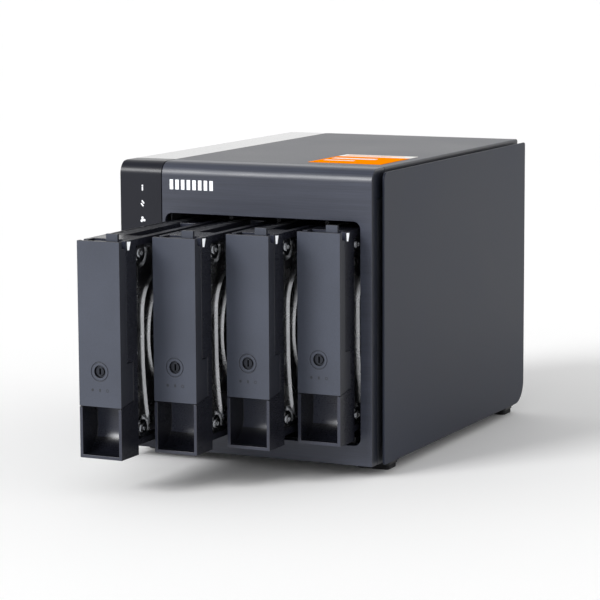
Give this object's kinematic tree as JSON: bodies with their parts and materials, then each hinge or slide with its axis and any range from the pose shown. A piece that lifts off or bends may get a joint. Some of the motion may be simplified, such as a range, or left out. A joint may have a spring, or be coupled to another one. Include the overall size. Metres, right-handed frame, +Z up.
{
  "type": "network attached storage",
  "caption": "Desktop network storage box with upright hot-swap drive trays drawn out in steps, a tall bezel with a status strip, and a fan and ports at the back.",
  "frame": {"origin": "on the floor under the middle of the whole object as it stands with its trays drawn out", "axes": "+X to the right seen from the front, +Y from the front to the back, +Z up"},
  "size_m": [0.16, 0.319, 0.1667],
  "materials": {
    "bezel": "brushed-look moulded plastic, satin",
    "black_strip": "satin black plastic",
    "pale_lens": "translucent pale plastic",
    "button_plastic": "satin black plastic",
    "circuit_board": "green solder mask",
    "cover_paint": "matt fine-texture dark grey paint",
    "gloss_black": "high-gloss black",
    "label_paper": "printed coated paper, orange and white",
    "panel_paint": "matt dark grey paint",
    "chassis_paint": "matt black-grey paint",
    "foot_plastic": "matt black plastic",
    "foot_rubber": "soft black rubber",
    "cage_plastic": "matt black plastic",
    "cage_steel": "zinc-plated sheet steel",
    "socket_plastic": "black connector plastic",
    "heat_sink_metal": "clear anodised",
    "port_shell": "nickel-plated stamped shell",
    "fan_plastic": "black glass-filled plastic",
    "screw_steel": "dark nickel-plated steel",
    "tray_plastic": "fine-textured dark grey plastic",
    "lever_plastic": "fine-textured grey plastic",
    "lock_metal": "black lacquered lock barrel",
    "white_guide": "milky light guide",
    "drive_casting": "cast aluminium, machined edges",
    "drive_steel": "bright stamped cover"
  },
  "bodies": {
    "case": {"front_bezel": "bezel", "indicator_strip": "black_strip", "indicator_lenses": "pale_lens", "front_board": "circuit_board", "top_cover": "cover_paint", "top_gloss_strip": "gloss_black", "top_label": "label_paper", "left_panel": "panel_paint", "right_panel": "panel_paint", "chassis": "chassis_paint", "rear_panel": "chassis_paint", "foot_mounts": "foot_plastic", "foot_pads": "foot_rubber", "cage_floor": "cage_plastic", "cage_roof": "cage_plastic", "cage_side_walls": "cage_steel", "backplane_board": "circuit_board", "drive_sockets": "socket_plastic", "main_board": "circuit_board", "heat_sink": "heat_sink_metal", "lan_ports": "port_shell", "usb_ports": "port_shell", "dc_jack": "socket_plastic", "fan_frame": "fan_plastic", "rear_screws": "screw_steel"},
    "power_key": {"power_button": "button_plastic"},
    "reset_key": {"reset_plunger": "pale_lens"},
    "fan": {"fan_rotor": "fan_plastic"},
    "tray_1": {"tray_1_carrier": "tray_plastic", "tray_1_strips": "cage_plastic", "tray_1_light_guide": "white_guide", "drive_1_case": "drive_casting", "drive_1_cover": "drive_steel", "drive_1_board": "circuit_board"},
    "lever_1": {"tray_1_lever": "lever_plastic"},
    "lock_1": {"tray_1_lock": "lock_metal"},
    "tray_2": {"tray_2_carrier": "tray_plastic", "tray_2_strips": "cage_plastic", "tray_2_light_guide": "white_guide", "drive_2_case": "drive_casting", "drive_2_cover": "drive_steel", "drive_2_board": "circuit_board"},
    "lever_2": {"tray_2_lever": "lever_plastic"},
    "lock_2": {"tray_2_lock": "lock_metal"},
    "tray_3": {"tray_3_carrier": "tray_plastic", "tray_3_strips": "cage_plastic", "tray_3_light_guide": "white_guide", "drive_3_case": "drive_casting", "drive_3_cover": "drive_steel", "drive_3_board": "circuit_board"},
    "lever_3": {"tray_3_lever": "lever_plastic"},
    "lock_3": {"tray_3_lock": "lock_metal"},
    "tray_4": {"tray_4_carrier": "tray_plastic", "tray_4_strips": "cage_plastic", "tray_4_light_guide": "white_guide", "drive_4_case": "drive_casting", "drive_4_cover": "drive_steel", "drive_4_board": "circuit_board"},
    "lever_4": {"tray_4_lever": "lever_plastic"},
    "lock_4": {"tray_4_lock": "lock_metal"}
  },
  "joints": [
    {"name": "tray_1_slide", "type": "slide", "parent": "case", "child": "tray_1", "axis": [0, -1, 0], "range_m": [-0.1, 0.078]},
    {"name": "lever_1_hinge", "type": "hinge", "parent": "tray_1", "child": "lever_1", "pos_m": [-0.0332, -0.1545, 0.1286], "axis": [-1, 0, 0], "range_deg": [0, 35]},
    {"name": "lock_1_turn", "type": "hinge", "parent": "lever_1", "child": "lock_1", "pos_m": [-0.0332, -0.1595, 0.0666], "axis": [0, 1, 0], "range_deg": [0, 90]},
    {"name": "tray_2_slide", "type": "slide", "parent": "case", "child": "tray_2", "axis": [0, -1, 0], "range_m": [-0.0725, 0.1055]},
    {"name": "lever_2_hinge", "type": "hinge", "parent": "tray_2", "child": "lever_2", "pos_m": [-0.004, -0.127, 0.1286], "axis": [-1, 0, 0], "range_deg": [0, 35]},
    {"name": "lock_2_turn", "type": "hinge", "parent": "lever_2", "child": "lock_2", "pos_m": [-0.004, -0.132, 0.0666], "axis": [0, 1, 0], "range_deg": [0, 90]},
    {"name": "tray_3_slide", "type": "slide", "parent": "case", "child": "tray_3", "axis": [0, -1, 0], "range_m": [-0.046, 0.132]},
    {"name": "lever_3_hinge", "type": "hinge", "parent": "tray_3", "child": "lever_3", "pos_m": [0.0252, -0.1005, 0.1286], "axis": [-1, 0, 0], "range_deg": [0, 35]},
    {"name": "lock_3_turn", "type": "hinge", "parent": "lever_3", "child": "lock_3", "pos_m": [0.0252, -0.1055, 0.0666], "axis": [0, 1, 0], "range_deg": [0, 90]},
    {"name": "tray_4_slide", "type": "slide", "parent": "case", "child": "tray_4", "axis": [0, -1, 0], "range_m": [-0.0205, 0.1575]},
    {"name": "lever_4_hinge", "type": "hinge", "parent": "tray_4", "child": "lever_4", "pos_m": [0.0544, -0.075, 0.1286], "axis": [-1, 0, 0], "range_deg": [0, 35]},
    {"name": "lock_4_turn", "type": "hinge", "parent": "lever_4", "child": "lock_4", "pos_m": [0.0544, -0.08, 0.0666], "axis": [0, 1, 0], "range_deg": [0, 90]},
    {"name": "fan_spin", "type": "hinge", "parent": "case", "child": "fan", "pos_m": [0.0106, 0.143, 0.07795], "axis": [0, 1, 0], "continuous": true},
    {"name": "power_press", "type": "slide", "parent": "case", "child": "power_key", "axis": [0, 1, 0], "range_m": [0, 0.0015], "stiffness_N_per_m": 400},
    {"name": "reset_press", "type": "slide", "parent": "case", "child": "reset_key", "axis": [0, -1, 0], "range_m": [0, 0.0005], "stiffness_N_per_m": 1500}
  ]
}
